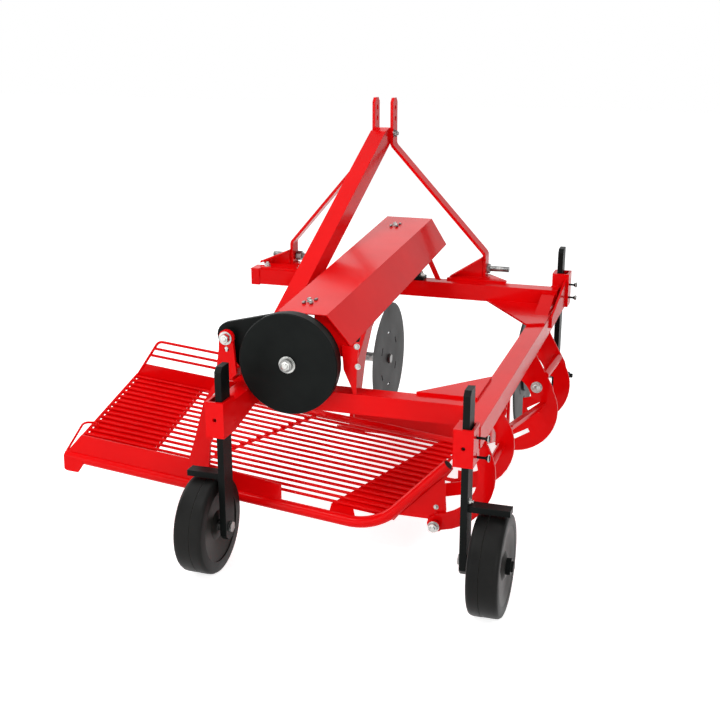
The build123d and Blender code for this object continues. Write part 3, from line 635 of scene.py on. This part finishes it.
def makeClampBolts():
    bm, rings = bmesh.new(), bmesh.new()
    for place, way, length, halfBar in clampBolts:
        face, out = at(*place), Vector((way / 1000, 0, 0))
        addRod(bm, face - out * clampBolt["root"], face + out * length, clampBolt["shank"], 16)
        tip = face + out * length
        ringAt = tip + out * clampBolt["collarTo"]
        addRod(bm, tip - out * 1, ringAt, clampBolt["collar"], 20, clampBolt["collarEnd"])
        addRod(rings, ringAt, tip + out * clampBolt["ringTo"], clampBolt["ring"], 24)
        addRod(bm, tip + out * clampBolt["nutFrom"], tip + out * clampBolt["nutTo"], clampBolt["nut"], 6)
        middle, half = tip + out * clampBolt["barAt"], Vector((0, halfBar / 1000, 0))
        addRod(bm, middle - half, middle + half, clampBolt["bar"], 12)
    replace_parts(newPiece("clampSetBolts", bm, "black_paint", "frame"), "clamp_bolts")
    newPiece("clampBoltRings", rings, "zinc", "frame")


makeClampBolts()


# welds on the frame: start, end and size of the bead, in millimetres

welds = (((-907, 1338, 603), (-869, 1338, 603), 3), ((302, 1338, 540), (306, 1165, 541), 3),
         ((299, 183, 540), (299, 386, 541), 3), ((-404, 122, 541), (-342, 122, 541), 4),
         ((-404, 122, 541), (-404, 260, 541), 4), ((-342, 122, 541), (-342, 260, 541), 4),
         ((299.5, 116, 478), (299.5, 116, 539), 4), ((-437, -46, 477), (-379, -46, 477), 3),
         ((302, -46, 540), (360, -46, 540), 3), ((332, 1401, 603), (362, 1401, 603), 4),
         ((-64, 1441, 611), (46, 1441, 611), 3), ((40, 1447, 613), (52, 1447, 690), 3),
         ((-774, 1441, 612), (-774, 1441, 664), 3), ((-404, 1440, 1130), (-404, 1462, 1180), 3),
         ((303, 890, 477), (361, 890, 477), 4), ((303, 1195, 477), (361, 1195, 477), 4),
         ((304, 92, 477), (358, 92, 477), 3))


def makeFrameWelds():
    bm = bmesh.new()
    for k, (start, end, size) in enumerate(welds):
        addWeld(bm, at(*start), at(*end), size / 1000, k)
    newPiece("frameWelds", bm, "red_paint", "frame", sharp=180)


makeFrameWelds()
print("clamp bolts and welds ready")


# floor, light and camera

studio = dict(floorSize=30.0, floorColour=(0.86, 0.86, 0.86, 1), floorRough=0.9, floorGlow=0.74,
              worldLight=0.34, lampsAt=(0, 0, 0.5))
softboxes = {  # place, size and power
    "overheadBox": ((-0.6, -0.4, 4.2), (3.6, 3.6), 50.0),
    "rightBox": ((3.4, -4.2, 2.4), (2.4, 2.4), 84.0),
    "rearBox": ((-1.0, -3.4, 0.9), (2.4, 1.4), 22.0),
    "glintBox": ((-0.9, -2.3, 3.6), (0.9, 0.16), 34.0),
    "farBox": ((-2.2, 5.2, 2.6), (4.6, 2.2), 14.0),
    "leftBox": ((-4.0, 0.5, 2.4), (2.4, 2.4), 60.0),
}
view = dict(lens=58.04, sensor=36.0, place=(1.25784, -3.734, 1.673), down=17.3, turn=17.75)


def seenRays(nodes, links):
    rays = nodes.new("ShaderNodeLightPath")
    total = rays.outputs["Is Camera Ray"]
    for kind in ("Is Glossy Ray", "Is Transmission Ray"):
        either = nodes.new("ShaderNodeMath")
        either.operation = "MAXIMUM"
        links.new(total, either.inputs[0])
        links.new(rays.outputs[kind], either.inputs[1])
        total = either.outputs[0]
    return total


def makeFloor():
    bm = bmesh.new()
    bmesh.ops.create_grid(bm, x_segments=1, y_segments=1, size=studio["floorSize"] / 2)
    mesh = bpy.data.meshes.new("floor")
    bm.to_mesh(mesh)
    bm.free()
    floor = bpy.data.objects.new("floor", mesh)
    bpy.context.scene.collection.objects.link(floor)
    material, nodes, links, shader = newMaterial("paleFloor")
    shader.inputs["Base Color"].default_value = studio["floorColour"]
    shader.inputs["Roughness"].default_value = studio["floorRough"]
    shader.inputs["Specular IOR Level"].default_value = 0.0
    glow = nodes.new("ShaderNodeEmission")
    seen = nodes.new("ShaderNodeMath")
    seen.operation = "MULTIPLY"
    seen.inputs[1].default_value = studio["floorGlow"]
    links.new(seenRays(nodes, links), seen.inputs[0])
    links.new(seen.outputs[0], glow.inputs["Strength"])
    total = nodes.new("ShaderNodeAddShader")
    links.new(shader.outputs[0], total.inputs[0])
    links.new(glow.outputs[0], total.inputs[1])
    links.new(total.outputs[0], nodes["Material Output"].inputs["Surface"])
    mesh.materials.append(material)


def makeWorld():
    world = bpy.data.worlds.new("studio")
    bpy.context.scene.world = world
    world.use_nodes = True
    nodes, links = world.node_tree.nodes, world.node_tree.links
    room = nodes["Background"]
    room.inputs["Color"].default_value = (1, 1, 1, 1)
    room.inputs["Strength"].default_value = studio["worldLight"]
    white = nodes.new("ShaderNodeBackground")
    white.inputs["Color"].default_value = (1, 1, 1, 1)
    pick = nodes.new("ShaderNodeMixShader")
    links.new(seenRays(nodes, links), pick.inputs["Fac"])
    links.new(room.outputs[0], pick.inputs[1])
    links.new(white.outputs[0], pick.inputs[2])
    links.new(pick.outputs[0], nodes["World Output"].inputs["Surface"])


def addSoftbox(name, place, size, power):
    lamp = bpy.data.lights.new(name, "AREA")
    lamp.shape = "RECTANGLE"
    lamp.size, lamp.size_y = size
    lamp.energy = power
    light = bpy.data.objects.new(name, lamp)
    light.location = place
    light.rotation_euler = (Vector(studio["lampsAt"]) - Vector(place)).to_track_quat("-Z", "Y").to_euler()
    bpy.context.scene.collection.objects.link(light)


def addCamera():
    data = bpy.data.cameras.new("camera")
    data.lens = view["lens"]
    data.sensor_width = view["sensor"]
    camera = bpy.data.objects.new("camera", data)
    camera.location = view["place"]
    camera.rotation_euler = Euler((math.radians(90 - view["down"]), 0, math.radians(view["turn"])))
    bpy.context.scene.collection.objects.link(camera)
    bpy.context.scene.camera = camera


bpy.context.scene.view_settings.view_transform = "Standard"
makeFloor()
makeWorld()
for name, (place, size, power) in softboxes.items():
    addSoftbox(name, place, size, power)
addCamera()
print("studio ready")
